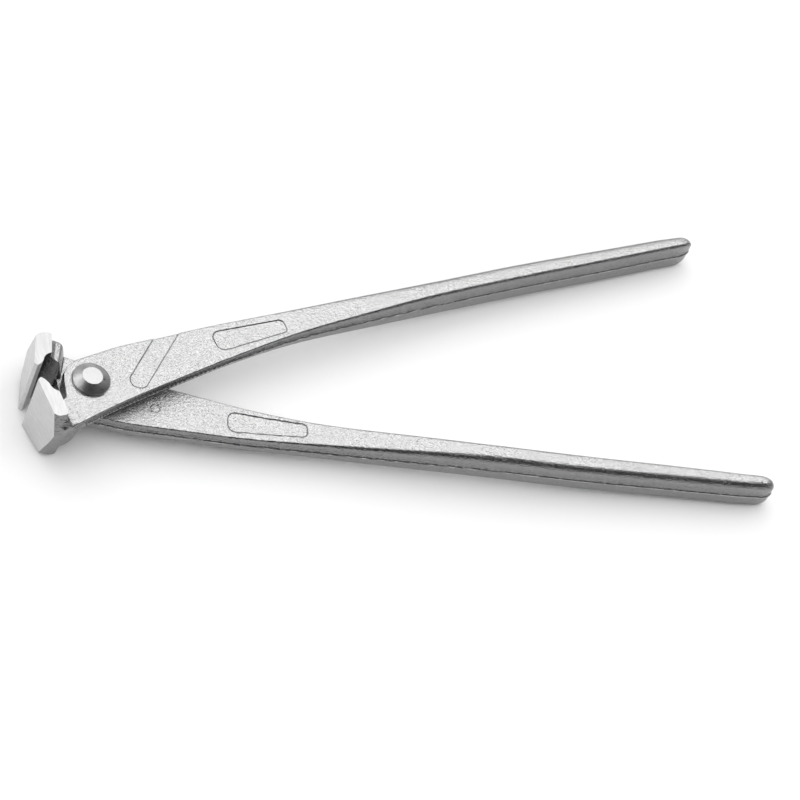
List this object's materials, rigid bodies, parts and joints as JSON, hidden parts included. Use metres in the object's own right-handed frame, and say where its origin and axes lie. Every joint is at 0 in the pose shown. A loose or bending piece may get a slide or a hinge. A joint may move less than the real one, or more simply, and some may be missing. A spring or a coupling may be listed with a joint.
{
  "type": "rebar tying pliers",
  "caption": "End cutting pliers for tying and cutting binding wire: wide cutting jaws across the front, a lap joint with a domed rivet and long slim handles.",
  "frame": {"origin": "centre of the rivet's flat tail face, on the pivot axis", "axes": "+Z along the pivot axis towards the rivet's head, +X from the pivot towards the ends of the handles"},
  "size_m": [0.2446, 0.1044, 0.025],
  "materials": {
    "forged_zinc": "zinc-plated forged steel, satin",
    "bright_zinc": "zinc-plated turned steel, bright"
  },
  "bodies": {
    "lower_half": {"bottom_lever": "forged_zinc", "joint_rivet": "bright_zinc"},
    "upper_half": {"top_lever": "forged_zinc"}
  },
  "joints": [
    {"name": "pivot", "type": "hinge", "parent": "lower_half", "child": "upper_half", "pos_m": [0, 0, 0.0082], "axis": [0, 0, 1], "range_deg": [-14, 50]}
  ]
}
